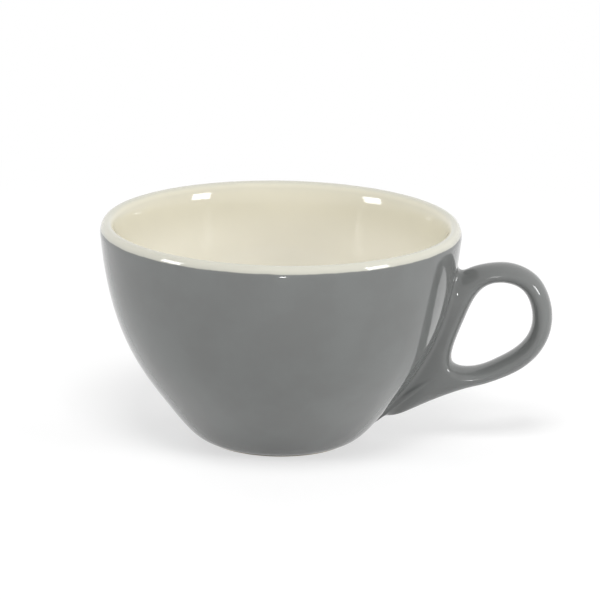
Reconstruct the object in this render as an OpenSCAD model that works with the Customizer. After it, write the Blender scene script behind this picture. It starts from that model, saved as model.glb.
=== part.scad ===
// Cappuccino cup: a thrown bowl on a small foot ring, with a looped handle luted to its wall.
// The bowl is clay under two glazes, cream inside and grey outside, which meet just under the lip.
// Millimetres. The bowl's axis is Z, the foot stands on Z = 0 and the handle points along +X.
// Every outline that is called a face is the glazed face; the clay lies one coat of glaze behind it.

/* [Bowl] */
// Radius over the glaze at the rim
rim_r = 47.5; // [45:0.5:50]
// Height of the lip's crown above the table
height = 59; // [57:0.5:64]
// Thickness of the wall at the lip
lip_t = 4.8; // [4.2:0.1:5.6]
// Width of the lip's rounding outside its crown
lip_outer = 3.2; // [2.4:0.1:3.6]
// Drop from the crown to where that rounding starts
lip_drop = 3.5; // [2.6:0.1:4.2]
// Drop from the crown to the line where the cream and grey glazes meet
colour_drop = 2.3; // [1.5:0.1:2.5]
// Drop from the crown to the top of the inside wall
inner_drop = 2.3; // [1.2:0.1:3]
// Outward lean of the wall at the rim, in degrees
rim_lean = 5; // [0:0.2:8]
// How far the belly's curve is drawn down from the rim
belly_pull = 26.5; // [20:0.5:30]
// Radius of the flank, where the wall is straightest
flank_r = 29.4; // [28:0.2:31]
// Height of the flank
flank_z = 9.2; // [8:0.2:11]
// Lean of the flank from upright, in degrees
flank_lean = 37.2; // [33:0.2:41]
// How far the flank's straight run is drawn upwards
flank_pull = 13; // [8:0.5:18]
// Thickness of the wall at the flank
wall_t = 5; // [4:0.1:6]
// Thickness of the floor
floor_t = 5; // [4:0.1:7]
// How far the floor's flat middle is drawn outwards
floor_pull = 13; // [6:0.5:16]

/* [Foot] */
// Radius of the foot ring
foot_r = 20.6; // [18:0.1:22]
// Height of the foot ring's upright side
foot_side = 0.5; // [0.4:0.05:0.8]
// Width of the foot ring, glaze included
foot_w = 3.4; // [2.6:0.1:5]
// Depth of the hollow inside the foot ring
hollow_depth = 1.8; // [1.2:0.1:3]
// Radius of the hollow's corner
hollow_round = 1; // [0.5:0.1:1.1]
// Height of the bare clay left at the foot
bare_h = 0.3; // [0.2:0.05:0.35]
// Bevel around the bare foot
foot_bevel = 0.2; // [0.1:0.05:0.3]
// Rise of the heel where it leaves the foot, in degrees
heel_rise = 14; // [8:1:24]
// How far the heel's curve is drawn out from the foot
heel_pull = 2.6; // [1.5:0.1:4]
// How far the flank's straight run is drawn downwards
heel_rise_pull = 6; // [3:0.5:8]

/* [Glaze and slip] */
// Thickness of a coat of glaze
glaze_t = 0.35; // [0.2:0.05:0.5]
// Thickness of the slip that joins the handle to the wall
slip_t = 0.2; // [0.1:0.05:0.3]

/* [Handle] */
// Width of the finger hole
finger_w = 21.2; // [18:0.2:24]
// Height of the finger hole
finger_h = 23.9; // [21:0.5:25]
// Drop from the lip's crown to the finger hole's middle
finger_drop = 27.05; // [25.5:0.25:28.5]
// Gap from the wall to the finger hole's near side, at the hole's middle height
web_t = 2.85; // [2.6:0.1:5]
// Thickness of the arm in side view
arm_t = 5.15; // [4.2:0.05:6]
// Width of the arm across the finger hole
arm_w = 9.6; // [8:0.2:11]
// Width of the seat on the wall
seat_w = 12.8; // [11:0.2:15]
// Width of the seat's top end
seat_top_w = 4.8; // [3.6:0.2:5.6]
// Width of the tail's tip
tail_w = 3.2; // [2.4:0.2:4]
// Drop from the lip's crown to the seat's top end
seat_drop = 10.5; // [9:0.25:11.5]
// Height of the tail's tip above the table
tail_z = 3; // [2:0.2:5]
// How far the fillet reaches along the wall
fillet_reach = 2.2; // [1.4:0.1:3]
// Angle between the fillet's edge and the wall, in degrees
fillet_angle = 9; // [0:1:20]
// Furthest that the handle's side face runs straight out from the finger hole
flank_reach = 6; // [4:0.5:9]
// How far the clay seat stops short of the fillet's edge
seat_margin = 0.9; // [0.7:0.05:1.2]

/* [Hidden] */
// Facets of a full turn
$fn = 144;
// Facets of a full turn where the slip lies on the wall
fine_turn = 720;
// Overrun of a cut past the face that it opens
overrun = 1;

// Colours, as fired
clay_colour = [0.86, 0.83, 0.77];
cream_colour = [0.89, 0.86, 0.76];
grey_colour = [0.46, 0.47, 0.46];
slip_colour = [0.80, 0.77, 0.70];

// Steps along each curve of the bowl's outline
belly_steps = 22;
heel_steps = 9;
lip_steps = 7;
edge_steps = 3;
floor_steps = 12;

// Heights and radii that follow from the sizes above
colour_z = height - colour_drop;
crown_r = rim_r - lip_outer;
// Turn round the lip, from its outer side, at which the two glazes meet
colour_turn = asin((lip_drop - colour_drop) / lip_drop);
inner_r = rim_r - lip_t;
inner_z = height - inner_drop;
floor_z = hollow_depth + floor_t;
finger_z = height - finger_drop;
seat_top_z = height - seat_drop;
hollow_r = foot_r - foot_w;

// Points of a curve with two end points and two pulls
function curve_point(a, b, c, d, t) =
    pow(1 - t, 3) * a + 3 * pow(1 - t, 2) * t * b + 3 * (1 - t) * t * t * c + pow(t, 3) * d;
function curve(a, b, c, d, steps) = [for (i = [0:steps]) curve_point(a, b, c, d, i / steps)];
// A quarter of an ellipse from one point to another, leaving the first one upright, or a part of it
function quarter_up(from, to, steps, start = 0, end = 90) = [for (i = [0:steps])
    let (a = start + (end - start) * i / steps)
    [to.x + (from.x - to.x) * cos(a), from.y + (to.y - from.y) * sin(a)]];
// The same, leaving the first point level
function quarter_level(from, to, steps) = [for (i = [0:steps])
    [from.x + (to.x - from.x) * sin(90 * i / steps), to.y + (from.y - to.y) * cos(90 * i / steps)]];
// A list without its first item
function rest(list) = [for (i = [1:1:len(list) - 1]) list[i]];
function backwards(list) = [for (i = [len(list) - 1:-1:0]) list[i]];
function unit(v) = v / norm(v);
// An open line moved to the left of its own direction; an end on the axis stays on it
function moved(line, gap) = let (last = len(line) - 1) [for (i = [0:last])
    let (way = unit(line[min(i + 1, last)] - line[max(i - 1, 0)]))
    [line[i].x == 0 ? 0 : line[i].x - gap * way.y, line[i].y + gap * way.x]];

// Outside face, from the foot up to the line where the glazes meet on the lip's rounding
foot_corner = [foot_r, foot_side];
flank = [flank_r, flank_z];
flank_way = [sin(flank_lean), cos(flank_lean)];
rim_edge = [rim_r, height - lip_drop];
crown = [crown_r, height];
rim_way = [sin(rim_lean), cos(rim_lean)];
heel = curve(foot_corner, foot_corner + heel_pull * [cos(heel_rise), sin(heel_rise)],
    flank - heel_rise_pull * flank_way, flank, heel_steps);
belly = curve(flank, flank + flank_pull * flank_way, rim_edge - belly_pull * rim_way, rim_edge, belly_steps);
outside_face = concat([[foot_r, bare_h]], heel, rest(belly),
    rest(quarter_up(rim_edge, crown, edge_steps, 0, colour_turn)));

// Lip and inside face, from the same line over the crown and down to the floor's middle
inner_flank = flank + wall_t * [-flank_way.y, flank_way.x];
inner_edge = [inner_r, inner_z];
lip_face = concat(quarter_up(rim_edge, crown, lip_steps, colour_turn, 90),
    rest(quarter_level(crown, inner_edge, lip_steps)));
inner_wall = curve(inner_edge, inner_edge - belly_pull * rim_way,
    inner_flank + flank_pull * flank_way, inner_flank, belly_steps);
floor_curve = curve(inner_flank, inner_flank - heel_rise_pull * flank_way,
    [floor_pull, floor_z], [0, floor_z], floor_steps);
inside_face = concat(lip_face, rest(inner_wall), rest(floor_curve));

// Underside, from the hollow's middle out to the foot ring's inner side
hollow_face = concat([[0, hollow_depth]],
    quarter_level([hollow_r - hollow_round, hollow_depth], [hollow_r, hollow_depth - hollow_round], lip_steps),
    [[hollow_r, bare_h]]);

// The clay behind the three glazed faces, and the face of the slip on it
clay_face = moved(concat(outside_face, rest(inside_face)), glaze_t);
clay_outside = [for (i = [0:len(outside_face) - 1]) clay_face[i]];
clay_inside = [for (i = [len(outside_face) - 1:len(clay_face) - 1]) clay_face[i]];
clay_hollow = moved(hollow_face, glaze_t);
seat_face = moved(outside_face, glaze_t - slip_t);

// Radius of a face at a height
function radius_on(face, z) = lookup(z, [for (p = face) [p.y, p.x]]);
function lean_at(z) = let (step = glaze_t)
    atan((radius_on(outside_face, z + step) - radius_on(outside_face, z - step)) / (2 * step));

// Smooth curves: cubic splines that lie close to their points
function spline(p, t) = (pow(1 - t, 3) * p[0] + (3 * t * t * t - 6 * t * t + 4) * p[1]
    + (-3 * t * t * t + 3 * t * t + 3 * t + 1) * p[2] + t * t * t * p[3]) / 6;
function spline_way(p, t) = (-pow(1 - t, 2) * p[0] + (3 * t * t - 4 * t) * p[1]
    + (-3 * t * t + 2 * t + 1) * p[2] + t * t * p[3]) / 2;
// Four neighbours in a closed list, and in an open list whose ends are carried on straight
function ring_four(list, k) = [for (m = [-1:2]) list[(k + m + len(list)) % len(list)]];
function soft_end(q) = let (last = len(q) - 1) concat([2 * q[0] - soft(q, 1)],
    [for (i = [0:last]) soft(q, i)], [2 * q[last] - soft(q, last - 1)]);
function soft(q, i) = i == 0 || i == len(q) - 1 ? q[i] : q[i] + (2 * q[i] - q[i - 1] - q[i + 1]) / 6;
function span(list, s) = min(floor(s), len(list) - 4);
function open_four(list, s) = [for (m = [0:3]) list[span(list, s) + m]];
function along(list, s) = spline(open_four(list, s), s - span(list, s));
function along_way(list, s) = spline_way(open_four(list, s), s - span(list, s));

// Finger hole: control points as shares of its width and height, clockwise from the top of the wall side
hole_shares = [[-0.235, 0.35], [-0.04, 0.52], [0.332, 0.49], [0.485, 0.265], [0.51, -0.03], [0.345, -0.25],
    [0.07, -0.39], [-0.18, -0.505], [-0.558, -0.5], [-0.445, -0.145], [-0.355, 0.055]];
hole_x = radius_on(outside_face, finger_z) + web_t + finger_w / 2;
hole_points = [for (p = hole_shares) [hole_x + p.x * finger_w, finger_z + p.y * finger_h]];
hole_turns = len(hole_points);
function hole_at(u) = spline(ring_four(hole_points, floor(u) % hole_turns), u - floor(u));
function hole_out(u) = let (w = unit(spline_way(ring_four(hole_points, floor(u) % hole_turns), u - floor(u))))
    [-w.y, w.x];

// Ribs of the handle, clockwise. Each starts at a place on the hole's outline, counted in control points.
// Top ribs stand off the wall: place on the hole, drop from the seat's top, and gap from the wall as
// shares of the arm's thickness.
top_rib_shares = [[0, 0, 0], [0.17, 0.3, 0.1], [0.37, 0.365, 0.4]];
// Arm ribs: place on the hole, and the arm's thickness there as a share
arm_rib_shares = [[0.68, 1.15], [1.2, 0.99], [1.72, 1], [2.3, 1.035], [2.93, 1.015], [3.57, 1.03], [4.17, 1.01],
    [4.8, 1.02], [5.48, 1.03], [6.18, 0.98], [6.87, 0.97], [7.35, 1.1]];
// Tail ribs: place on the hole, height over the tail's tip as a share of the space under the hole, and
// gap from the wall as a share of the arm's thickness
tail_rib_shares = [[7.79, 0.45, 1.93], [7.87, 0.23, 1.07], [7.92, 0.18, 0.56], [7.955, 0.155, 0.16],
    [7.985, 0, 0]];
// Wall ribs: place on the hole, height on the wall and width of the seat, as shares of their spans
wall_rib_shares = [[8.02, 0.147, 0.27], [8.08, 0.267, 0.53], [8.25, 0.41, 0.87], [8.8, 0.55, 1],
    [9.7, 0.695, 1], [10.45, 0.835, 0.97]];
// Width of the cap along the free ribs, as a share of the arm's width, and at the tail
cap_share = 0.5;
// Half the thickness of the rounding beside the hole, as a share of the arm's thickness
round_share = 0.48;

free_count = len(top_rib_shares) + len(arm_rib_shares) + len(tail_rib_shares) - 1;
rib_count = free_count + 1 + len(wall_rib_shares);
rib_places = [for (r = concat(top_rib_shares, arm_rib_shares, tail_rib_shares, wall_rib_shares)) r[0]];
function place_at(k) = rib_places[(k + rib_count) % rib_count] + hole_turns * floor(k / rib_count);
function soft_place(k) = place_at(k) + (2 * place_at(k) - place_at(k - 1) - place_at(k + 1)) / 6;
function hole_place(s) = spline([for (m = [-1:2]) soft_place(floor(s) + m)], s - floor(s));

// Outer points of the free ribs, on the glazed face
hole_foot = finger_z - finger_h / 2;
function off_wall(z, gap) = [radius_on(outside_face, z) + gap, z];
outer_points = concat(
    [for (r = top_rib_shares) off_wall(seat_top_z - r[1] * arm_t, r[2] * arm_t)],
    [for (r = arm_rib_shares) hole_at(r[0]) + r[1] * arm_t * hole_out(r[0])],
    [for (r = tail_rib_shares) off_wall(tail_z + r[1] * (hole_foot - tail_z), r[2] * arm_t)]);
// The same for the clay: one coat of glaze behind, with both ends drawn in along the wall
function drawn_in(line) = let (last = len(line) - 1, inner = moved(line, -glaze_t),
    top = seat_top_z - seat_margin, low = tail_z + seat_margin)
    [for (i = [0:last]) i == 0 ? [radius_on(seat_face, top), top]
        : i == last ? [radius_on(seat_face, low), low] : inner[i]];

// A skin of the handle is glazed or bare clay. Its measures, in order: outer points, drawing in of the
// hole side, half width, face that the seat lies on, top and low ends of the seat, and loss of seat width.
glazed_skin = [soft_end(outer_points), 0, arm_w / 2, outside_face, seat_top_z, tail_z, 0];
clay_skin = [soft_end(drawn_in(outer_points)), glaze_t, arm_w / 2 - glaze_t, seat_face,
    seat_top_z - seat_margin, tail_z + seat_margin, seat_margin];

// Steps between ribs, round the hole side, along the flank, and across the cap
rib_steps = 2;
round_steps = 6;
flank_steps = 7;
cap_steps = 6;
side_steps = round_steps + flank_steps;
loop_points = 2 * side_steps + cap_steps;
stations = rib_count * rib_steps;
free_end = free_count * rib_steps;

// Fade from one at a rib to nothing two ribs on
function fade(ribs) = ribs >= 2 ? 0 : pow(1 - ribs / 2, 2) * (1 + ribs);
function seat_ribs(low, high) = soft_end(concat([low], [for (r = wall_rib_shares) low + r[1] * (high - low)],
    [high]));
function seat_widths(loss) = soft_end(concat([tail_w / 2],
    [for (r = wall_rib_shares) tail_w / 2 + r[2] * (seat_w - tail_w) / 2], [seat_top_w / 2])
    - loss * [for (i = [0:len(wall_rib_shares) + 1]) i == 0 || i > len(wall_rib_shares) ? end_loss_share : 1]);
cap_widths = soft_end([for (i = [0:free_count]) i < 2 ? seat_top_w / 2
    : i > free_count - 2 ? tail_w / 2 : cap_share * arm_w / 2]);
// The seat's ends lose this share of the margin in half width, and their tips bow by a share of it
end_loss_share = 0.6;
bow_share = 0.21;
// Pull of the fillet at the seat's ends, as a share of its reach on the sides
end_pull_share = 0.6;
// Straight run of the side face, as a share of its length
straight_share = 0.5;
// Angle at which the fillet arrives at the seat's ends, from sideways, in degrees
end_turn = 100;

// A point on a face of the wall
function on_wall(face, y, z) = [sqrt(pow(radius_on(face, z), 2) - y * y), y, z];
// Upwards and sideways along the wall
function wall_up(z) = [sin(lean_at(z)), 0, cos(lean_at(z))];
function wall_side(face, w, z) = let (turn = asin(w / radius_on(face, z))) [-sin(turn), cos(turn), 0];
// Way in which the fillet meets the wall, turned from sideways by an angle, a little off the wall itself
function arrival(side, up, turn, z) = (side * cos(turn) + up * wall_up(z) * sin(turn)) * cos(fillet_angle)
    - [cos(lean_at(z)), 0, -sin(lean_at(z))] * sin(fillet_angle);
function straight_run(run) = min(straight_share * run, flank_reach);

// One half of a section: from the hole side's middle round to the edge of the cap
function half_section(middle, out, deep, half_w, edge, start_pull, end_pull) =
    let (side = [middle.x + out.x * deep, half_w, middle.y + out.y * deep], away = [out.x, 0, out.y])
    concat([for (i = [0:round_steps - 1]) let (a = 90 * i / round_steps)
            [middle.x + out.x * deep * (1 - cos(a)), half_w * sin(a), middle.y + out.y * deep * (1 - cos(a))]],
        curve(side, side + start_pull * away, edge - end_pull, edge, flank_steps));
function flat_length(v) = norm([v.x, v.z]);

// Section where the handle sits on the wall, at s ribs
function wall_section(skin, s) =
    let (face = skin[3], q = s - free_count, last = rib_count - free_count,
        u = hole_place(s), out = hole_out(u), middle = hole_at(u) + skin[1] * out,
        deep = round_share * arm_t - skin[1],
        z = along(seat_ribs(skin[5], skin[4]), q), w = along(seat_widths(skin[6]), q),
        near = min(q, last - q), turn = 1 - fade(near), up = q < last / 2 ? -1 : 1,
        tip = near == 0, edge_z = tip ? z - up * bow_share * w : z,
        edge = on_wall(face, w, edge_z),
        side = [middle.x + out.x * deep, skin[2], middle.y + out.y * deep],
        half = half_section(middle, out, deep, skin[2], edge, straight_run(flat_length(edge - side)),
            arrival(wall_side(face, w, z), up, end_turn * (1 - turn), z)
            * fillet_reach * (end_pull_share + (1 - end_pull_share) * turn)))
    close_section(half, [for (i = [1:cap_steps - 1]) let (c = 1 - 2 * i / cap_steps)
        on_wall(face, w * c, edge_z + (z - edge_z) * (1 - c * c))]);

// Section of the free arm, at s ribs
function free_section(skin, s) =
    let (face = skin[3], top = s < free_count / 2, up = top ? 1 : -1,
        u = hole_place(s), out = hole_out(u), middle = hole_at(u) + skin[1] * out,
        deep = round_share * arm_t - skin[1], half_w = skin[2],
        tip = along(skin[0], s), w = along(cap_widths, s) - skin[1] * end_loss_share,
        near = fade(top ? s : free_count - s),
        end_z = top ? skin[4] : skin[5],
        end_w = (top ? seat_top_w : tail_w) / 2 - skin[6] * end_loss_share,
        seat_end = on_wall(face, end_w, end_z - up * bow_share * end_w),
        seat_tip = on_wall(face, 0, end_z),
        side = [middle.x + out.x * deep, half_w, middle.y + out.y * deep],
        outer = [tip.x, 0, tip.y],
        rise = sqrt(1 - pow(w / half_w, 2)),
        round_drop = -(1 - rise) * [outer.x - side.x, 0, outer.z - side.z],
        tip_drop = seat_end - seat_tip,
        drop = round_drop * (1 - near) + [tip_drop.x, 0, tip_drop.z] * near,
        edge = outer + drop + [0, w, 0],
        run = [edge.x - side.x, 0, edge.z - side.z],
        sweep = acos(w / half_w), pull = 4 / 3 * tan(sweep / 4),
        arrive = arrival([0, 1, 0], up, end_turn, edge.z),
        round_pull = pull * (run * cos(sweep) / sin(sweep) - [0, half_w * sin(sweep), 0]),
        half = half_section(middle, out, deep, half_w, edge,
            norm(run) * pull / sin(sweep) * (1 - near) + straight_run(norm(run)) * near,
            round_pull * (1 - near) + arrive * fillet_reach * end_pull_share * near))
    close_section(half, [for (i = [1:cap_steps - 1])
        let (c = 1 - 2 * i / cap_steps, share = (sqrt(1 - pow(w * c / half_w, 2)) - rise) / (1 - rise))
        [edge.x + (outer.x - edge.x) * share, w * c, edge.z + (outer.z - edge.z) * share]]);

// Both halves of a section and the cap between them, as one closed loop of points
function close_section(half, cap) = concat(half, cap,
    [for (i = [side_steps:-1:1]) [half[i].x, -half[i].y, half[i].z]]);
function on_seat(i) = i == 0 || i >= free_end;
function sections(skin) = [for (i = [0:stations - 1]) let (s = i / rib_steps)
    i == 0 ? wall_section(skin, rib_count) : on_seat(i) ? wall_section(skin, s) : free_section(skin, s)];
glazed_sections = sections(glazed_skin);
clay_sections = sections(clay_skin);

// Faces between neighbouring sections; the first number of a patch is where its points start in the list
function corner(i, j, start) = start + (i % stations) * loop_points + j % loop_points;
function quad(a, b, c, d) = [[a, c, b], [a, d, c]];
function patch(i, j, start) = quad(corner(i, j, start), corner(i, j + 1, start),
    corner(i + 1, j + 1, start), corner(i + 1, j, start));
function in_window(i, j) = i >= free_end && j >= side_steps && j < side_steps + cap_steps;
function skin_faces(start, windowed) = [for (i = [0:stations - 1]) for (j = [0:loop_points - 1])
    if (!windowed || !in_window(i, j)) each patch(i, j, start)];
function turned_over(faces) = [for (f = faces) [f[0], f[2], f[1]]];
function flat_list(rows) = [for (r = rows) each r];

// The window's edge, station and point, once round
window_edge = concat([for (j = [0:cap_steps - 1]) [free_end, side_steps + j]],
    [for (i = [free_end:stations - 1]) [i, side_steps + cap_steps]],
    [for (j = [cap_steps:-1:1]) [stations, side_steps + j]],
    [for (i = [stations:-1:free_end + 1]) [i, side_steps]]);
edge_count = len(window_edge);
function edge_point(rows, k) = rows[window_edge[k][0] % stations][window_edge[k][1] % loop_points];
function edge_corner(k, start) = corner(window_edge[k % edge_count][0], window_edge[k % edge_count][1], start);

module turned(outline) rotate_extrude() polygon(outline);

// Clay bowl with its foot ring, bare only at the foot
module bowl_body() color(clay_colour) turned(clay_outline);
bare_foot = [[hollow_r + glaze_t, foot_bevel], [hollow_r + glaze_t + foot_bevel, 0],
    [foot_r - glaze_t - foot_bevel, 0], [foot_r - glaze_t, foot_bevel]];
clay_outline = concat(clay_hollow, bare_foot, clay_outside, rest(clay_inside));

// Cream glaze inside the bowl and over the lip
module liner_glaze() color(cream_colour)
    turned(concat(inside_face, backwards(clay_inside)));

// Grey glaze outside the bowl, open where the handle is joined
module bowl_glaze() color(grey_colour) difference() {
    turned(concat(outside_face, backwards(clay_outside)));
    seat_window();
}
module seat_window() rotate([90, 0, 90]) linear_extrude(rim_r + overrun)
    polygon([for (k = [0:edge_count - 1]) let (p = edge_point(glazed_sections, k)) [p.y, p.z]]);

// Clear glaze in the hollow under the foot
module base_glaze() color(cream_colour)
    turned(concat(hollow_face, backwards(clay_hollow)));

// Clay handle: one closed loop, flat where it meets the wall
module handle_body() color(clay_colour)
    polyhedron(flat_list(clay_sections), skin_faces(0, false));

// Slip between the handle and the wall, and in the fillet round the seat
module luting_slip() color(slip_colour) difference() {
    slip_block();
    rotate_extrude($fn = fine_turn) polygon(concat([[0, bare_h]], clay_outside, [[0, colour_z]]));
}
module slip_block() {
    clay = flat_list(clay_sections);
    count = len(clay);
    rim = [for (k = [0:edge_count - 1]) edge_point(glazed_sections, k)];
    top = concat(clay, rim);
    behind = [for (p = top) p - [wall_t / 2, 0, 0]];
    seat = concat(
        [for (i = [free_end:stations - 1]) for (j = [side_steps:side_steps + cap_steps - 1]) each patch(i, j, 0)],
        [for (k = [0:edge_count - 1]) each quad(edge_corner(k, 0), count + k,
            count + (k + 1) % edge_count, edge_corner(k + 1, 0))]);
    sides = [for (k = [0:edge_count - 1]) let (a = count + k, b = count + (k + 1) % edge_count, deep = len(top))
        each quad(a, b, b + deep, a + deep)];
    polyhedron(concat(top, behind), concat(turned_over(seat), [for (f = seat) f + len(top) * [1, 1, 1]], sides));
}

// Grey glaze over the handle
module handle_glaze() color(grey_colour) {
    count = stations * loop_points;
    edge = [for (k = [0:edge_count - 1]) each quad(edge_corner(k, 0), edge_corner(k + 1, 0),
        edge_corner(k + 1, count), edge_corner(k, count))];
    polyhedron(concat(flat_list(glazed_sections), flat_list(clay_sections)),
        concat(skin_faces(0, true), turned_over(skin_faces(count, true)), edge));
}

bowl_body();
liner_glaze();
bowl_glaze();
base_glaze();
handle_body();
luting_slip();
handle_glaze();
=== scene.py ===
# %% [markdown]
# # A cappuccino cup, grey outside and cream inside
# The cup is a clay bowl on a small foot ring, with a looped handle stuck to its wall by slip.
# Two glazes cover it. A cream one lines the bowl and runs over the lip, and a grey one coats the
# outside and the handle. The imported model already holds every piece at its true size, so it is
# loaded first, and the smooth, glossy surfaces that the eye sees are laid over it.

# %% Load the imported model
import math
import bmesh
import bpy
import numpy as np
from mathutils import Matrix, Vector


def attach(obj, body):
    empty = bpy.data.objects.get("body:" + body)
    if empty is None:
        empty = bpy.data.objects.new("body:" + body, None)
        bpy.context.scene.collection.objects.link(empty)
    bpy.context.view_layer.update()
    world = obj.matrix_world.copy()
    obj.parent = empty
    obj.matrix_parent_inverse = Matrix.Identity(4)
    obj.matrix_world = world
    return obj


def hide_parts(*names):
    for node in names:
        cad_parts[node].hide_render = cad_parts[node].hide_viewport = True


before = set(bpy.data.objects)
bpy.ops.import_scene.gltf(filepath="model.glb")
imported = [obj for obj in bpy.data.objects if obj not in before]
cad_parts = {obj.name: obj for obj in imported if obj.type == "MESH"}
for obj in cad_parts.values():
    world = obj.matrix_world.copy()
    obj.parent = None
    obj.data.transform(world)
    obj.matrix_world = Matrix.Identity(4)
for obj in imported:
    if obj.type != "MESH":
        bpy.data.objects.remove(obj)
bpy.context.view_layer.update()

# %% [markdown]
# ## The camera
# The photo was taken from about three quarters of a metre, looking down a little, with the handle
# turned a few degrees towards the viewer. Those numbers came from matching the rim, the wall and
# the foot. The camera is built as a stack of simple moves, read from right to left: step back,
# tip it by its small roll, look down, aim at a point in the cup, then walk round to the handle's side.

# %% Set the camera
MM = 0.001
look_down, walk_round, small_roll = math.radians(15.65), math.radians(3), math.radians(1.01)
distance, aim = 775.5 * MM, Vector((5.29, 0, 37.03)) * MM
sensor_width, focal_length, nearest = 36, 175.9, 0.01

lens = bpy.data.cameras.new("photo_camera")
lens.sensor_width, lens.lens, lens.clip_start = sensor_width, focal_length, nearest
photo_camera = bpy.data.objects.new("photo_camera", lens)
bpy.context.scene.collection.objects.link(photo_camera)
photo_camera.matrix_world = (Matrix.Rotation(walk_round, 4, "Z") @ Matrix.Translation(aim)
    @ Matrix.Rotation(math.pi / 2 - look_down, 4, "X") @ Matrix.Rotation(small_roll, 4, "Z")
    @ Matrix.Translation((0, 0, distance)))
bpy.context.scene.camera = photo_camera
print("camera at", [round(v, 3) for v in photo_camera.matrix_world.translation])

# %% [markdown]
# ## The bowl's outline
# A bowl is turned, so one outline holds its whole shape. It could be drawn as a row of points, but
# a curve with two end points and two pulls is what a mould maker would draw: a heel that leaves the
# foot, and a belly that rises to the rim, with one tangent where they meet at the flank. All
# lengths here are millimetres, as on the maker's drawing, and they are turned to metres at the end.
# Each R is a radius, each Z a height over the table and each LEAN an angle from upright.

# %% Curves
def curve(start, pull_a, pull_b, end, steps):
    """Points of a curve from start to end, drawn out by its two pulls."""
    t = np.linspace(0, 1, steps + 1)[:, None]
    a, b, c, d = (np.array(p, float) for p in (start, pull_a, pull_b, end))
    return (1 - t)**3 * a + 3 * (1 - t)**2 * t * b + 3 * (1 - t) * t**2 * c + t**3 * d

def leaning(angle):
    """A step of one that leans outwards from upright by an angle in degrees."""
    return np.array([math.sin(math.radians(angle)), math.cos(math.radians(angle))])

# %% Outside, from the foot to the rim
FOOT_R, FOOT_SIDE, HEEL_RISE = 20.6, 0.5, 14
FLANK_R, FLANK_Z, FLANK_LEAN = 29.4, 9.2, 37.2
RIM_R, RIM_Z, RIM_LEAN = 47.48, 55.5, 5
HEEL_PULL, FLANK_DOWN_PULL, FLANK_UP_PULL, BELLY_PULL = 2.6, 6, 13, 26.5

foot_corner = np.array([FOOT_R, FOOT_SIDE])
flank, flank_way = np.array([FLANK_R, FLANK_Z]), leaning(FLANK_LEAN)
rim, rim_way = np.array([RIM_R, RIM_Z]), leaning(RIM_LEAN)
heel = curve(foot_corner, foot_corner + HEEL_PULL * leaning(90 - HEEL_RISE),
    flank - FLANK_DOWN_PULL * flank_way, flank, steps=26)
belly = curve(flank, flank + FLANK_UP_PULL * flank_way, rim - BELLY_PULL * rim_way, rim, steps=70)
wall_line = np.vstack([heel, belly[1:]])
print("wall has", len(wall_line), "points, widest", round(wall_line[:, 0].max(), 2), "mm")

# %% [markdown]
# ## The lip and the inside
# A potter leaves the lip thick and rounds it with a wet sponge, so it isn't half of a circle. Its
# crown lies close to the outside: a narrow quarter turn leads up to it, and a long, gentle roll
# leads down from it into the bowl. A Bevel modifier would give both sides the same rounding, so
# each has its own curve. The two glazes meet part of the way up the quarter turn. The inside wall
# keeps about five millimetres from the outside one, then runs out into a gently dished floor.

# %% Lip
CROWN_R, CROWN_Z, COLOUR_Z = 45.9, 58.5, 56.7
ROLL_R, ROLL_Z, ROLL_LEAN = 42.6, 50, 6
CROWN_PULL, ROLL_UP_PULL, ROLL_DOWN_PULL = 2, 5.5, 20

def quarter(start, end, steps, upright, first=0, last=math.pi / 2):
    """A quarter of an ellipse that leaves its start upright or level, or a part of it."""
    a = np.linspace(first, last, steps + 1)
    across, rise = (1 - np.cos(a), np.sin(a)) if upright else (np.sin(a), 1 - np.cos(a))
    return np.stack([start[0] + (end[0] - start[0]) * across, start[1] + (end[1] - start[1]) * rise], 1)

crown = np.array([CROWN_R, CROWN_Z])
roll_end, roll_way = np.array([ROLL_R, ROLL_Z]), leaning(ROLL_LEAN)
colour_turn = math.asin((COLOUR_Z - RIM_Z) / (CROWN_Z - RIM_Z))
grey_lip = quarter(rim, crown, steps=8, upright=True, last=colour_turn)
cream_lip = quarter(rim, crown, steps=20, upright=True, first=colour_turn)
lip_roll = curve(crown, crown - (CROWN_PULL, 0), roll_end + ROLL_UP_PULL * roll_way, roll_end, steps=40)
print("glazes meet", round(CROWN_Z - COLOUR_Z, 2), "mm under the crown")

# %% Inside
WALL, FLOOR, FLOOR_FLAT, HOLLOW_DEEP = 5.0, 5, 13, 1.8
inner_flank = flank + WALL * np.array([-flank_way[1], flank_way[0]])
floor_z = HOLLOW_DEEP + FLOOR
inner_wall = curve(roll_end, roll_end - ROLL_DOWN_PULL * roll_way,
    inner_flank + FLANK_UP_PULL * flank_way, inner_flank, steps=60)
dish = curve(inner_flank, inner_flank - FLANK_DOWN_PULL * flank_way,
    (FLOOR_FLAT, floor_z), (0, floor_z), steps=40)

outside = np.vstack([wall_line, grey_lip[1:]])
well = np.vstack([lip_roll, inner_wall[1:], dish[1:]])
inside = np.vstack([cream_lip, well[1:]])

upwards = well[::-1]
slices = math.pi * (upwards[1:, 0] + upwards[:-1, 0])**2 / 4 * np.diff(upwards[:, 1])
print("holds", round(slices.sum() / 1000), "ml to the crown")

# %% [markdown]
# ## Turning the pieces
# Each turned piece is a mesh of rings. A Screw modifier could spin an outline, but here the rings
# are made in mesh code, so that the points on the axis close in one fan and the skin has no seam.
# The turn has many steps, because a glossy rim shows every corner in its highlight.

# %% Turn an outline into a mesh
TURN_STEPS, SHARP_ANGLE = 320, math.radians(40)

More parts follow.
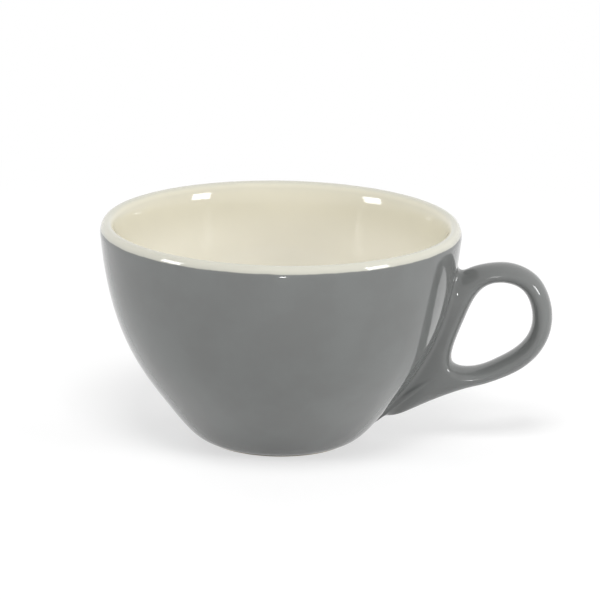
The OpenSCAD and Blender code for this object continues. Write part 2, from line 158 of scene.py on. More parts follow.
def make_piece(name, points, faces):
    """A smooth-shaded piece from points in millimetres."""
    skin = bpy.data.meshes.new(name)
    skin.from_pydata([tuple(p * MM) for p in np.asarray(points, float)], [], faces)
    skin.validate()
    skin.polygons.foreach_set("use_smooth", [True] * len(skin.polygons))
    skin.set_sharp_from_angle(angle=SHARP_ANGLE)
    piece = bpy.data.objects.new(name, skin)
    bpy.context.scene.collection.objects.link(piece)
    return piece

def turn(name, outline):
    """A closed outline of radius and height, turned about the cup's axis."""
    points, rings, faces = [], [], []
    angles = np.linspace(0, 2 * math.pi, TURN_STEPS, endpoint=False)
    for r, z in outline:
        if r == 0:
            rings.append([len(points)] * TURN_STEPS)
            points.append((0, 0, z))
        else:
            rings.append(list(range(len(points), len(points) + TURN_STEPS)))
            points.extend((r * math.cos(a), r * math.sin(a), z) for a in angles)
    for low, high in zip(rings, rings[1:] + rings[:1]):
        for k in range(TURN_STEPS):
            n = (k + 1) % TURN_STEPS
            corners = list(dict.fromkeys((low[k], low[n], high[n], high[k])))
            if len(corners) > 2:
                faces.append(corners)
    piece = make_piece(name, points, faces)
    print(name, len(points), "points", len(faces), "faces")
    return piece

# %% [markdown]
# ## Clay, and the glazes on it
# The clay lies one coat of glaze behind the faces above. A Solidify modifier could make such a
# coat, but its edge would be cut square. Real glaze ends in a small bead where it was wiped back
# from the foot, so the coat's clay side is drawn as well and the bead joins the two. The bare foot
# ring has its corners softened by the sponge.

# %% Faces of the clay
GLAZE, HOLLOW_R, HOLLOW_ROUND = 0.35, 17.2, 1.0

def beside(line, gap):
    """The line moved to its left by a gap; a point on the axis stays there."""
    way = np.gradient(line, axis=0)
    way /= np.linalg.norm(way, axis=1)[:, None]
    out = line + gap * np.stack([-way[:, 1], way[:, 0]], 1)
    out[line[:, 0] == 0, 0] = 0
    return out

clay_face = beside(np.vstack([outside, inside[1:]]), GLAZE)
clay_outside, clay_inside = clay_face[:len(outside)], clay_face[len(outside) - 1:]
hollow_corner = quarter((HOLLOW_R - HOLLOW_ROUND, HOLLOW_DEEP), (HOLLOW_R, HOLLOW_DEEP - HOLLOW_ROUND),
    steps=12, upright=False)
hollow = np.vstack([[(0, HOLLOW_DEEP)], hollow_corner, [(HOLLOW_R, FOOT_SIDE)]])
clay_hollow = beside(hollow, GLAZE)
print("clay wall has", len(clay_face), "points, hollow", len(clay_hollow))

# %% Turn the bowl and its three coats
# Softened corner of the foot ring: how far in from its side, and how high
sponged_corner = [(0, 0.45), (0.06, 0.2), (0.25, 0.04), (0.6, 0)]

def bead(face_end, clay_end, steps=8):
    """A half-round edge from the glaze's face to the clay, bulging downwards."""
    middle, arm = (face_end + clay_end) / 2, (face_end - clay_end) / 2
    drop = np.array([0, -np.linalg.norm(arm)])
    a = np.linspace(0, math.pi, steps + 1)[:, None]
    return middle + np.cos(a) * arm + np.sin(a) * drop

sole = np.array([(HOLLOW_R + GLAZE + inwards, z) for inwards, z in sponged_corner]
    + [(FOOT_R - GLAZE - inwards, z) for inwards, z in reversed(sponged_corner)])
outer_bead = bead(outside[0], clay_outside[0])[1:-1]
hollow_bead = bead(hollow[-1], clay_hollow[-1])[1:-1]
clay_bowl = turn("clay_bowl", np.vstack([clay_hollow[:-1], sole, clay_outside, clay_inside[1:]]))
grey_coat = turn("grey_coat", np.vstack([outside, clay_outside[::-1], outer_bead[::-1]]))
cream_coat = turn("cream_coat", np.vstack([inside, clay_inside[:0:-1]]))
hollow_coat = turn("hollow_coat", np.vstack([hollow, hollow_bead, clay_hollow[::-1]]))

# %% [markdown]
# ## The handle
# The handle is a loop of clay, round beside the finger, flat down its sides, and flowing into the wall
# with a fillet. A sweep along a path would give it one section everywhere, so it is lofted instead.
# Ribs are set round the finger hole, smooth curves pass through them, and each section starts beside
# the finger, runs down the side face and ends either on the wall or in the arm's own back.

# %% Smooth curves through the ribs
def spline(p, t):
    """A point of the cubic spline of four neighbours."""
    return ((1 - t)**3 * p[0] + (3 * t**3 - 6 * t * t + 4) * p[1]
        + (-3 * t**3 + 3 * t * t + 3 * t + 1) * p[2] + t**3 * p[3]) / 6

def spline_way(p, t):
    """The way in which that spline runs."""
    return (-(1 - t)**2 * p[0] + (3 * t * t - 4 * t) * p[1]
        + (-3 * t * t + 2 * t + 1) * p[2] + t * t * p[3]) / 2

def softened(q):
    """Control points that carry an open spline almost through q."""
    q = np.array(q, float)
    p = q.copy()
    p[1:-1] = q[1:-1] + (2 * q[1:-1] - q[:-2] - q[2:]) / 6
    return np.concatenate([[2 * p[0] - p[1]], p, [2 * p[-1] - p[-2]]])

def along(p, s):
    """The point at s control points along an open spline."""
    k = min(int(s), len(p) - 4)
    return spline(p[k:k + 4], s - k)

# %% Radius and lean of the wall
wall_r, wall_z = outside[:, 0], outside[:, 1]
FEEL = 0.35

def wall_at(z):
    """Radius of the bowl's outside at a height."""
    return float(np.interp(z, wall_z, wall_r))

def lean_at(z):
    """Lean of the wall from upright at a height, felt a little above and below it."""
    return math.atan((wall_at(z + FEEL) - wall_at(z - FEEL)) / (2 * FEEL))

print("wall leans", round(math.degrees(lean_at(FLANK_Z)), 1), "degrees at the flank")

# %% [markdown]
# The finger hole is one closed curve of eleven points, each a share of the hole's width and height
# from its middle. The ribs name a place on that curve; beside it stands how thick the arm is there,
# or how far the back stands off the wall, or how wide the seat is.

# %% Finger hole
FINGER_W, FINGER_H, FINGER_Z, FINGER_GAP = 21.2, 23.9, 31.95, 2.85
hole_shares = [(-0.235, 0.35), (-0.04, 0.52), (0.332, 0.49), (0.485, 0.265), (0.51, -0.03), (0.345, -0.25),
    (0.07, -0.39), (-0.18, -0.505), (-0.558, -0.5), (-0.445, -0.145), (-0.355, 0.055)]
hole_middle = np.array([wall_at(FINGER_Z) + FINGER_GAP + FINGER_W / 2, FINGER_Z])
hole = hole_middle + np.array(hole_shares) * (FINGER_W, FINGER_H)

def hole_at(u):
    """A point on the finger hole and the way out of it there."""
    four = hole[[(int(u // 1) + m) % len(hole) for m in (-1, 0, 1, 2)]]
    way = spline_way(four, u % 1)
    way = way / np.linalg.norm(way)
    return spline(four, u % 1), np.array([-way[1], way[0]])

print("hole middle", hole_middle.round(2))

# %% Ribs
# Top: place on the hole, drop from the seat's top, gap from the wall, as shares of the arm's thickness
# Arm: place, thickness of the arm as a share
# Tail: place, height as a share of the room under the hole, gap from the wall as a share of the arm
# Seat: place, height and width of the seat as shares of their spans
ARM_T, ARM_W = 5.14, 9.6
SEAT_W, SEAT_TOP_W, TAIL_W, SEAT_TOP_Z, TAIL_Z = 12.8, 4.8, 5.0, 48.5, 3.0
top_shares = [(0, 0, 0), (0.17, 0.3, 0.1), (0.37, 0.365, 0.4)]
arm_shares = [(0.68, 1.15), (1.2, 0.99), (1.72, 1), (2.3, 1.035), (2.93, 1.015), (3.57, 1.03), (4.17, 1.01),
    (4.8, 1.02), (5.48, 1.03), (6.18, 0.98), (6.87, 0.97), (7.35, 1.1)]
tail_shares = [(7.79, 0.45, 1.93), (7.87, 0.23, 1.07), (7.92, 0.18, 0.56), (7.955, 0.155, 0.16),
    (7.985, 0, 0)]
seat_shares = [(8.02, 0.147, 0.45), (8.08, 0.267, 0.72), (8.25, 0.41, 0.93), (8.8, 0.55, 1), (9.7, 0.695, 1),
    (10.45, 0.835, 0.97)]

def off_wall(z, gap):
    """A point at a height and a gap off the wall, in side view."""
    return np.array([wall_at(z) + gap, z])

tail_room = FINGER_Z - FINGER_H / 2 - TAIL_Z
back = [off_wall(SEAT_TOP_Z - drop * ARM_T, gap * ARM_T) for _, drop, gap in top_shares]
back += [hole_at(u)[0] + share * ARM_T * hole_at(u)[1] for u, share in arm_shares]
back += [off_wall(TAIL_Z + rise * tail_room, gap * ARM_T) for _, rise, gap in tail_shares]
rib_places = [row[0] for row in top_shares + arm_shares + tail_shares + seat_shares]
FREE, RIBS = len(back) - 1, len(rib_places)
print("ribs", RIBS, "of which free", FREE + 1)

# %% Curves through the ribs
back_curve = softened(back)
seat_heights = softened([TAIL_Z] + [TAIL_Z + rise * (SEAT_TOP_Z - TAIL_Z) for _, rise, _ in seat_shares]
    + [SEAT_TOP_Z])
seat_halves = softened([TAIL_W / 2] + [(TAIL_W + wide * (SEAT_W - TAIL_W)) / 2 for _, _, wide in seat_shares]
    + [SEAT_TOP_W / 2])
cap_halves = softened([SEAT_TOP_W / 2] * 2 + [ARM_W / 4] * (FREE - 3) + [TAIL_W / 2] * 2)

def hole_place(s):
    """Where on the finger hole the section at s ribs starts."""
    def place(k):
        return rib_places[k % RIBS] + len(hole) * (k // RIBS)
    def soft(k):
        return place(k) + (2 * place(k) - place(k - 1) - place(k + 1)) / 6
    return spline([soft(int(s) + m) for m in (-1, 0, 1, 2)], s % 1)

print("seat is up to", round(2 * seat_halves.max(), 1), "mm wide")

# %% [markdown]
# A section has two matching halves. Each is a quarter round beside the finger, then a side face that
# leaves it straight and bends in at its end. On the wall that end is a fillet, whose foot points
# sideways, or up or down at the two tips of the seat. A Boolean and a bevel could join a plain arm
# to the wall, but a fillet drawn into the sections keeps one smooth skin with no pinched corners.

# %% A section that ends on the wall
CAP_STEPS, DEEP_SHARE, FOOT_ANGLE = 12, 0.48, math.radians(4)
FILLET_REACH, TIP_REACH_SHARE, TIP_TURN, TIP_BOW_SHARE = 2.6, 0.6, math.radians(100), 0.21
STRAIGHT_SHARE, STRAIGHT_MOST = 0.5, 6
DEEP = DEEP_SHARE * ARM_T
across = np.linspace(1, -1, CAP_STEPS + 1)[1:-1]
SIDE_VIEW = (1, 0, 1)

def fade(ribs):
    """One at a rib, nothing two ribs away."""
    return 0 if ribs >= 2 else (1 - ribs / 2)**2 * (1 + ribs)

def on_wall(y, z):
    """The point on the bowl's outside at a distance sideways and a height."""
    return np.array([math.sqrt(wall_at(z)**2 - y * y), y, z])

def fillet_way(side, up, turned, z):
    """The way in which a fillet meets the wall, turned up or down from sideways."""
    lean = lean_at(z)
    rising = np.array([math.sin(lean), 0, math.cos(lean)])
    outwards = np.array([math.cos(lean), 0, -math.sin(lean)])
    return ((side * math.cos(turned) + up * rising * math.sin(turned)) * math.cos(FOOT_ANGLE)
        - outwards * math.sin(FOOT_ANGLE))

def wall_end(q, side):
    """Edge, its two pulls and the cap of a section at q ribs from the tail's tip."""
    last = RIBS - FREE
    z, half = along(seat_heights, q), along(seat_halves, q)
    near, up = min(q, last - q), -1 if q < last / 2 else 1
    settled = 1 - fade(near)
    edge_z = z - up * TIP_BOW_SHARE * half if near == 0 else z
    edge = on_wall(half, edge_z)
    swing = math.asin(half / wall_at(z))
    sideways = np.array([-math.sin(swing), math.cos(swing), 0])
    leave = min(STRAIGHT_SHARE * np.linalg.norm((edge - side) * SIDE_VIEW), STRAIGHT_MOST)
    reach = FILLET_REACH * (TIP_REACH_SHARE + (1 - TIP_REACH_SHARE) * settled)
    arrive = fillet_way(sideways, up, TIP_TURN * (1 - settled), z) * reach
    cap = [on_wall(half * c, edge_z + (z - edge_z) * (1 - c * c)) for c in across]
    return edge, leave, arrive, cap

# %% [markdown]
# On the free arm the section ends in the arm's rounded back instead, an ellipse as wide as the arm.
# Near the wall the ellipse hands over to the fillet, rib by rib, so that the two kinds of section
# flow into each other.

# %% A section that ends in the arm's back
def flat(v):
    """A point or a way in side view, in space."""
    return np.array([v[0], 0, v[1]], float)

def arm_end(s, middle, side):
    """Edge, its two pulls and the cap of a section at s ribs from the seat's top."""
    top_end = s < FREE / 2
    up, near = (1, fade(s)) if top_end else (-1, fade(FREE - s))
    tip, half = flat(along(back_curve, s)), along(cap_halves, s)
    end_z, end_half = (SEAT_TOP_Z, SEAT_TOP_W / 2) if top_end else (TAIL_Z, TAIL_W / 2)
    droop = on_wall(end_half, end_z - up * TIP_BOW_SHARE * end_half) - on_wall(0, end_z)
    rise = math.sqrt(1 - (2 * half / ARM_W)**2)
    drop = -(1 - rise) * (tip - middle) * (1 - near) + droop * SIDE_VIEW * near
    edge = tip + drop + (0, half, 0)
    run = (edge - side) * SIDE_VIEW
    sweep = math.acos(2 * half / ARM_W)
    pull = 4 / 3 * math.tan(sweep / 4)
    leave = (np.linalg.norm(run) * pull / math.sin(sweep) * (1 - near)
        + min(STRAIGHT_SHARE * np.linalg.norm(run), STRAIGHT_MOST) * near)
    tip_way = fillet_way(np.array([0, 1, 0]), up, TIP_TURN, edge[2])
    arrive = (pull * (run / math.tan(sweep) - (0, ARM_W / 2 * math.sin(sweep), 0)) * (1 - near)
        + tip_way * FILLET_REACH * TIP_REACH_SHARE * near)
    bulge = (np.sqrt(1 - (2 * half * across / ARM_W)**2) - rise) / (1 - rise)
    cap = [edge * SIDE_VIEW + (tip - edge) * SIDE_VIEW * b + (0, half * c, 0) for c, b in zip(across, bulge)]
    return edge, leave, arrive, cap

# %% All sections of the handle
ROUND_STEPS, SIDE_STEPS, PER_RIB = 12, 16, 8
quarter_round = np.linspace(0, math.pi / 2, ROUND_STEPS + 1)[:-1]

def section(s):
    """The closed loop of points of the handle's section at s ribs."""
    start, out = hole_at(hole_place(s))
    middle = flat(start) + DEEP * flat(out)
    side = middle + (0, ARM_W / 2, 0)
    if s == 0 or s >= FREE:
        edge, leave, arrive, cap = wall_end((RIBS if s == 0 else s) - FREE, side)
    else:
        edge, leave, arrive, cap = arm_end(s, middle, side)
    nose = [flat(start) + flat(out) * DEEP * (1 - math.cos(a)) + (0, ARM_W / 2 * math.sin(a), 0)
        for a in quarter_round]
    half_loop = np.vstack([nose, curve(side, side + leave * flat(out), edge - arrive, edge, SIDE_STEPS)])
    return np.vstack([half_loop, cap, half_loop[:0:-1] * (1, -1, 1)])

stations = RIBS * PER_RIB
loops = np.array([section(i / PER_RIB) for i in range(stations)])
print("handle sections", loops.shape, "from", loops.min((0, 1)).round(2), "to", loops.max((0, 1)).round(2))

# %% [markdown]
# The fillet's foot lies on the wall and meets it at a few degrees. One more row of points carries
# on along the same slope, just under the bowl's own coat, so no gap shows and the shading runs
# right up to the line where the two glazes flow together. The row is laid out on the wall as if it
# were unrolled flat, because "away from the seat" is easy to tell there.

# %% The seat's edge, and the wall unrolled
SEAM = ROUND_STEPS + SIDE_STEPS
seat_start = FREE * PER_RIB
seam = [(seat_start, SEAM + j) for j in range(CAP_STEPS)]
seam += [(i, SEAM + CAP_STEPS) for i in range(seat_start, stations)]
seam += [(stations, SEAM + j) for j in range(CAP_STEPS, 0, -1)]
seam += [(i, SEAM) for i in range(stations, seat_start, -1)]
seam_points = np.array([loops[i % stations, j] for i, j in seam])
climb = np.concatenate([[0], np.cumsum(np.linalg.norm(np.diff(outside, axis=0), axis=1))])

def unrolled(points):
    """Points on the wall as distance round it and distance up it."""
    r = np.hypot(points[:, 0], points[:, 1])
    return np.stack([r * np.arctan2(points[:, 1], points[:, 0]), np.interp(points[:, 2], wall_z, climb)], 1)

def rolled(chart, lift):
    """The reverse, lifted off the wall."""
    r, z = np.interp(chart[:, 1], climb, wall_r), np.interp(chart[:, 1], climb, wall_z)
    lean = np.array([lean_at(v) for v in z])
    a = chart[:, 0] / r
    r, z = r + lift * np.cos(lean), z - lift * np.sin(lean)
    return np.stack([r * np.cos(a), r * np.sin(a), z], 1)

print("seam of", len(seam), "points")

# %% Collar round the seat
TUCK, SMOOTHINGS = 0.5, 6
chart = unrolled(seam_points)
stride = np.roll(chart, -1, 0) - np.roll(chart, 1, 0)
away = np.stack([stride[:, 1], -stride[:, 0]], 1)
away *= np.sign(np.sum(away * (chart - chart.mean(0)))) / np.linalg.norm(away, axis=1)[:, None]
for _ in range(SMOOTHINGS):
    away = (away + np.roll(away, 1, 0) + np.roll(away, -1, 0)) / 3
    away /= np.linalg.norm(away, axis=1)[:, None]
collar = rolled(chart + TUCK * away, -TUCK * math.tan(FOOT_ANGLE))
print("collar down to z", round(collar[:, 2].min(), 2))

# %% [markdown]
# Neighbouring loops are joined by a grid of faces, which stays open where the handle sits on the
# wall, and the collar is joined to the edge of that opening. The points inside the opening belong
# to no face, so they are taken out, and all faces are turned to look outwards.

# %% Join the loops and the collar into one skin
loop_size = loops.shape[1]

def corner(i, j):
    """The number of a point, from its section and its place in the loop."""
    return (i % stations) * loop_size + j % loop_size

faces = [(corner(i, j), corner(i + 1, j), corner(i + 1, j + 1), corner(i, j + 1))
    for i in range(stations) for j in range(loop_size)
    if not (i >= seat_start and SEAM <= j < SEAM + CAP_STEPS)]
points = list(loops.reshape(-1, 3))
ring = [corner(i, j) for i, j in seam]
tucked = list(range(len(points), len(points) + len(collar)))
points.extend(collar)
for k in range(len(ring)):
    n = (k + 1) % len(ring)
    faces.append((ring[k], ring[n], tucked[n], tucked[k]))
handle_coat = make_piece("handle_coat", points, faces)

skin = bmesh.new()
skin.from_mesh(handle_coat.data)
seat_gone = [v for v in skin.verts if not v.link_faces]
bmesh.ops.delete(skin, geom=seat_gone, context="VERTS")
bmesh.ops.recalc_face_normals(skin, faces=skin.faces)
skin.to_mesh(handle_coat.data)
skin.free()
print("handle coat", len(handle_coat.data.vertices), "points")

# %% [markdown]
# ## Finishes
# Shader nodes can be linked by hand, but shader maths reads best as plain sums. So a small class
# stands for a value that varies over the surface, and adding or multiplying it adds a Math node.

# %% Values that vary
class Varies:
    """A value that changes over a surface, from one socket of one node."""
    def __init__(self, nodes, socket):
        self.nodes, self.socket = nodes, socket

    def maths(self, operation, *values, **settings):
        settings["operation"] = operation
        return self.nodes.node("ShaderNodeMath", settings, dict(enumerate(values)))

    def __add__(self, other):
        return self.maths("ADD", self, other)

    def __radd__(self, other):
        return self.maths("ADD", other, self)

    def __sub__(self, other):
        return self.maths("SUBTRACT", self, other)

    def __rsub__(self, other):
        return self.maths("SUBTRACT", other, self)

    def __mul__(self, other):
        return self.maths("MULTIPLY", self, other)

    def __rmul__(self, other):
        return self.maths("MULTIPLY", other, self)

    def clipped(self):
        """The value, kept from 0 to 1."""
        return self.maths("ADD", self, 0.0, use_clamp=True)

# %% [markdown]
# One method makes every node, for the glazes as for the table and the room. Light Path is asked
# for in one place too. It tells the rays that show a thing, to the camera or in a mirror image,
# from the soft light that the thing sheds.

# %% Nodes
class Nodes:
    """The nodes of one material, or of the room."""
    def __init__(self, tree):
        self.tree = tree

    def node(self, kind, settings, sockets, output=0):
        """One node: its settings first, then its sockets by name or number."""
        made = self.tree.nodes.new(kind)
        for key, value in settings.items():
            setattr(made, key, value)
        for key, value in sockets.items():
            self.feed(made.inputs[key], value)
        return Varies(self, made.outputs[output])

    def feed(self, socket, value):
        """A link from what varies, or a constant on the socket itself."""
        if isinstance(value, Varies):
            self.tree.links.new(value.socket, socket)
        elif socket.type == "RGBA":
            socket.default_value = (*value, 1)
        else:
            socket.default_value = value

    def shown(self):
        """1 for what the camera, a mirror image or glass shows, 0 for light shed on the cup."""
        camera, mirror, glass = (self.node("ShaderNodeLightPath", {}, {}, kind)
            for kind in ("Is Camera Ray", "Is Glossy Ray", "Is Transmission Ray"))
        return (camera + mirror + glass).clipped()

# %% [markdown]
# A finish is one Principled shader with helpers for this cup: height and radius say where on the
# cup a point lies, a cloud is soft noise, a step goes from 0 to 1, and a blend mixes two colours.
# Painted textures would do as well, but these stay sharp at any size.

# %% Finish
class Finish(Nodes):
    """A material, built up from one Principled shader."""
    def __init__(self, name, roughness, ior=1.5):
        self.material = bpy.data.materials.new(name)
        self.material.use_nodes = True
        super().__init__(self.material.node_tree)
        self.shader = self.tree.nodes["Principled BSDF"]
        self.shade(Roughness=roughness, IOR=ior)

    def shade(self, **sockets):
        """Sockets of the Principled shader, with _ for a space."""
        for key, value in sockets.items():
            self.feed(self.shader.inputs[key.replace("_", " ")], value)

    def place(self):
        """The point on the cup, in metres."""
        return self.node("ShaderNodeTexCoord", {}, {}, "Object")

    def height(self):
        """Height above the table in millimetres."""
        return self.node("ShaderNodeSeparateXYZ", {}, {0: self.place()}, "Z") * 1000.0

    def radius(self):
        """Distance from the cup's axis in millimetres."""
        level = self.node("ShaderNodeVectorMath", {"operation": "MULTIPLY"}, {0: self.place(), 1: (1, 1, 0)})
        return self.node("ShaderNodeVectorMath", {"operation": "LENGTH"}, {0: level}, "Value") * 1000.0

    def cloud(self, size_mm, detail=3.0):
        """A soft noise from about 0.3 to 0.7, with features of a size in millimetres."""
        return self.node("ShaderNodeTexNoise", {},
            {"Vector": self.place(), "Scale": 1000.0 / size_mm, "Detail": detail, "Roughness": 0.5}, "Fac")

    def step(self, value, low, high):
        """A soft step from 0 to 1 as a value goes from low to high."""
        return self.node("ShaderNodeMapRange", {"interpolation_type": "SMOOTHSTEP"},
            {"Value": value, "From Min": low, "From Max": high})

    def blend(self, share, colour_a, colour_b):
        """Colour a where the share is 0, colour b where it is 1."""
        return self.node("ShaderNodeMix", {"data_type": "RGBA"}, {0: share, 6: colour_a, 7: colour_b}, 2)

    def bumps(self, depth_mm, value):
        """A surface that rises by a depth in millimetres as the value goes from 0 to 1."""
        return self.node("ShaderNodeBump", {}, {"Strength": 1.0, "Distance": depth_mm * MM, "Height": value})

# %% [markdown]
# ### The two glazes and where they meet
# Both glazes are glass over clay: a diffuse colour under a sharp, clear gloss. The line where they meet is
# never quite level, so one soft step in height, wandering by a tenth of a millimetre, mixes the two colours
# in both finishes. The cream is warm just under the lip and paler further down, partly its own paler tone
# and partly painted light that brightens the deep bowl. Over the lip it turns greyer and darker, partly the
# thin glaze's greyer tone and partly painted shade. It darkens most in the last millimetre above the line,
# and past the crown all is cream. The grey has soft, darker patches.

# %% Grey and cream
GREY, GREY_DARK = (0.146, 0.152, 0.149), (0.137, 0.141, 0.138)
# The second cream is for low in the bowl: partly a paler tone, partly painted light that brightens the deep
# bowl.
CREAM, CREAM_LOW_TONE_AND_LIGHT = (0.76, 0.715, 0.565), (0.90, 0.86, 0.74)
# The lip's cream is partly the thin glaze's greyer tone, partly painted shade that darkens the lip.
CREAM_LIP_TONE_AND_SHADE, CREAM_EDGE = (0.52, 0.51, 0.44), (0.36, 0.36, 0.33)
PALE_FROM_Z, PALE_FULL_Z, LIP_IN_R, LIP_OUT_R = 56.0, 40.0, 43.2, 45.4
PAST_FROM_R, PAST_TO_R = 46.0, 45.0
LINE_HALF, EDGE_BAND, EDGE_SHARE = 0.2, 1.2, 0.3
SLOW_WANDER, QUICK_WANDER, CLOUD_MEAN = 0.5, 0.12, 0.5

def glaze(name, grey_side):
    """One of the two glazes, with the other's colour past the line."""
    it = Finish(name, 0.06, 1.52)
    height, radius = it.height(), it.radius()
    wander = (it.cloud(9.0, 2.0) * SLOW_WANDER + it.cloud(1.6, 1.0) * QUICK_WANDER
        - CLOUD_MEAN * (SLOW_WANDER + QUICK_WANDER))
    creamy = it.step(height + wander, COLOUR_Z - LINE_HALF, COLOUR_Z + LINE_HALF)
    if not grey_side:
        creamy = (creamy + it.step(radius, PAST_FROM_R, PAST_TO_R)).clipped()
    grey = it.blend(it.step(it.cloud(14.0, 4.0), 0.35, 0.65), GREY, GREY_DARK)
    # Paler lower down: partly the glaze's own tone, partly painted light for the deep bowl.
    cream = it.blend(it.step(height, PALE_FROM_Z, PALE_FULL_Z), CREAM, CREAM_LOW_TONE_AND_LIGHT)
    # Greyer and darker over the lip: partly the glaze's own tone, partly painted shade.
    cream = it.blend(it.step(radius + wander, LIP_IN_R, LIP_OUT_R), cream, CREAM_LIP_TONE_AND_SHADE)
    over_line = it.step(height + wander, COLOUR_Z + EDGE_BAND, COLOUR_Z)
    cream = it.blend(over_line * EDGE_SHARE, cream, CREAM_EDGE)
    ripple = it.cloud(2.2, 2.0) * 0.7 + it.cloud(7.0, 1.0)
    it.shade(Base_Color=it.blend(creamy, grey, cream), Normal=it.bumps(0.012, ripple))
    return it.material

grey_glaze = glaze("glossy_grey", True)
cream_glaze = glaze("glossy_cream", False)
print("finishes", grey_glaze.name, cream_glaze.name)

# %% [markdown]
# ### Bare clay and slip
# The foot ring and all that lies under the glaze is fired stoneware: matt, a warm cream with fine
# dark grains, and a little grimed where it rubs on the table.

# %% Clay
CLAY, CLAY_WORN = (0.62, 0.56, 0.46), (0.50, 0.45, 0.37)
SLIP, SLIP_WORN = (0.55, 0.51, 0.43), (0.45, 0.42, 0.36)
GRAIN_SHARE, GRIME_SHARE, GRIME_TOP = 0.5, 0.6, 0.5

def bare_clay(name, pale, dark):
    """Fired clay with grains and a worn sole."""
    it = Finish(name, 0.75, 1.45)
    grains = it.step(it.cloud(0.35, 2.0), 0.62, 0.7)
    grime = it.step(it.height(), GRIME_TOP, 0.0) * it.step(it.cloud(3.0), 0.35, 0.7)
    colour = it.blend((grains * GRAIN_SHARE + grime * GRIME_SHARE).clipped(), pale, dark)
    it.shade(Base_Color=colour, Normal=it.bumps(0.03, it.cloud(0.5, 4.0)))
    return it.material

clay_finish = bare_clay("fired_clay", CLAY, CLAY_WORN)
slip_finish = bare_clay("fired_slip", SLIP, SLIP_WORN)
print("finishes", clay_finish.name, slip_finish.name)

# %% [markdown]
# Each smooth piece rides on the cup's one body, gets its finish, and takes the place of its solid, which is
# hidden. The clay handle and the slip lie wholly under the glaze, so their own solids stay and only get a
# finish.

# %% Put the finishes on and tie the pieces to the model
for piece, finish, record_slot, node in (
        (clay_bowl, clay_finish, "clay", "bowl_body"),
        (grey_coat, grey_glaze, "grey_glaze", "bowl_glaze"),
        (cream_coat, cream_glaze, "cream_glaze", "liner_glaze"),
        (hollow_coat, cream_glaze, "cream_glaze", "base_glaze"),
        (handle_coat, grey_glaze, "grey_glaze", "handle_glaze")):
    piece.data.materials.append(finish)
    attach(piece, "root")
    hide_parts(node)
for node, finish in (("handle_body", clay_finish), ("luting_slip", slip_finish)):
    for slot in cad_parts[node].material_slots:
        slot.material = finish
    print(node, "keeps its solid under the glaze")

# %% [markdown]
# ## Table and light
# The cup stands on a plain white table in a white room. The table is lit like the cup, and glows
# a little for the camera and for reflections only, so that it looks white but keeps the shadow. A
# lamp bright enough to bleach the table would bleach the cream glaze too, so that way is not taken.
# Away from the cup the table is all glow and runs into the room without an edge.

# %% Table
WHITE, WHITE_PAINT = (1.0, 1.0, 1.0), (0.9, 0.9, 0.9)
TABLE_HALF, NEAR_GLOW_SHARE, FADE_FROM_R, FADE_TO_R = 4000, 0.6, 130.0, 330.0

def white_stage(name):
    """White, part lit and part glowing for the camera and for mirror images."""
    it = Finish(name, 0.9)
    it.shade(Base_Color=WHITE_PAINT, Specular_IOR_Level=0)
    glow = it.node("ShaderNodeEmission", {}, {"Color": WHITE, "Strength": 1.0})
    glow_share = NEAR_GLOW_SHARE + (1 - NEAR_GLOW_SHARE) * it.step(it.radius(), FADE_FROM_R, FADE_TO_R)
    lit = Varies(it, it.shader.outputs["BSDF"])
    mixed = it.node("ShaderNodeMixShader", {}, {0: it.shown() * glow_share, 1: lit, 2: glow})
    it.feed(it.tree.nodes["Material Output"].inputs["Surface"], mixed)
    return it.material

table_corners = [(TABLE_HALF * x, TABLE_HALF * y, 0) for x, y in ((-1, -1), (1, -1), (1, 1), (-1, 1))]
table = make_piece("table", table_corners, [(0, 1, 2, 3)])
table.data.materials.append(white_stage("table_white"))
print("table", 2 * TABLE_HALF, "mm wide, glows by", NEAR_GLOW_SHARE, "round the cup")

# %% [markdown]
# The room has one brightness for what it sheds on the cup and another, full white, for what the
# camera and the glossy glaze see of it.

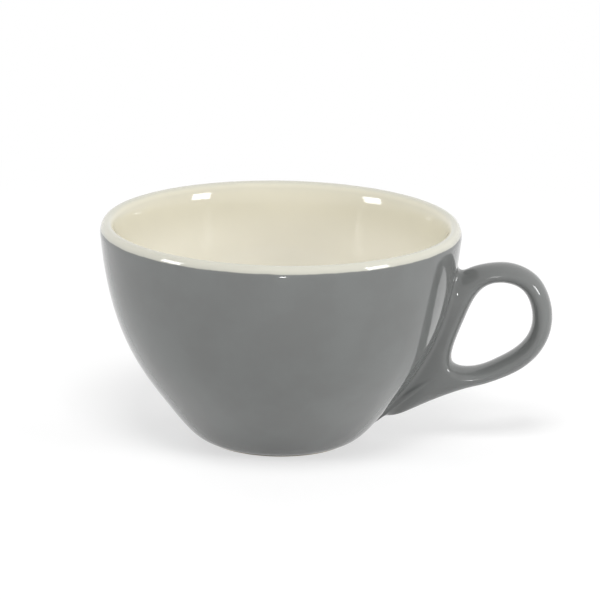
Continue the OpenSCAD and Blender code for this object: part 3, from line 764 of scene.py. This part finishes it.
# %% Room
ROOM_GLOW = 0.3
room = bpy.data.worlds.new("white_room")
bpy.context.scene.world = room
room.use_nodes = True
air = Nodes(room.node_tree)
walls = air.tree.nodes["Background"]
air.feed(walls.inputs["Color"], WHITE)
air.feed(walls.inputs["Strength"], ROOM_GLOW)
shed = Varies(air, walls.outputs["Background"])
seen = air.node("ShaderNodeBackground", {}, {"Color": WHITE, "Strength": 1.0})
chosen = air.node("ShaderNodeMixShader", {}, {0: air.shown(), 1: shed, 2: seen})
air.feed(air.tree.nodes["World Output"].inputs["Surface"], chosen)
print("room sheds", ROOM_GLOW, "and is seen as white")

# %% [markdown]
# Two soft boxes stand left and right, in front and a little above. Their mirror images are the
# bright spots inside the far lip and the streaks on the wall and the handle. A small window in
# front gives the one white dot under the near lip; it stands so low that the lip hides it from the
# inside. The four fills only shed light, as far white walls do, so mirror images leave them out:
# a pair behind rounds the sides, one above lights the inside, and a low one the handle.

# %% Lamps
LAMP_AIM_Z = 0.04

def soft_box(name, around, up, size, glow, far, mirrored=True):
    """A square lamp: degrees round from the front, degrees up, side, brightness, metres away."""
    a, e = math.radians(around) + walk_round, math.radians(up)
    spot = far * Vector((math.sin(a) * math.cos(e), -math.cos(a) * math.cos(e), math.sin(e)))
    lamp = bpy.data.lights.new(name, "AREA")
    lamp.size, lamp.energy = size, glow * math.pi * size * size
    box = bpy.data.objects.new(name, lamp)
    bpy.context.scene.collection.objects.link(box)
    box.location = spot + Vector((0, 0, LAMP_AIM_Z))
    box.rotation_euler = spot.to_track_quat("Z", "Y").to_euler()
    box.visible_glossy = mirrored
    print(name, "at", [round(v, 2) for v in box.location])

soft_box("right_box", 62, 18, 0.15, 15, 0.6)
soft_box("left_box", -70, 17, 0.15, 13, 0.6)
soft_box("back_right_fill", 140, 30, 0.25, 3, 0.5, mirrored=False)
soft_box("back_left_fill", -140, 30, 0.25, 2.8, 0.5, mirrored=False)
soft_box("top_fill", 0, 62, 0.35, 14, 0.9, mirrored=False)
soft_box("low_fill", 70, 6, 0.35, 2.6, 0.7, mirrored=False)
soft_box("front_window", 2, -1, 0.03, 35, 0.5)

# %% [markdown]
# ## Last steps
# The Standard view shows colours as they are written, where a filmic one would mute the cream.

# %% Colour handling
bpy.context.scene.view_settings.view_transform = "Standard"
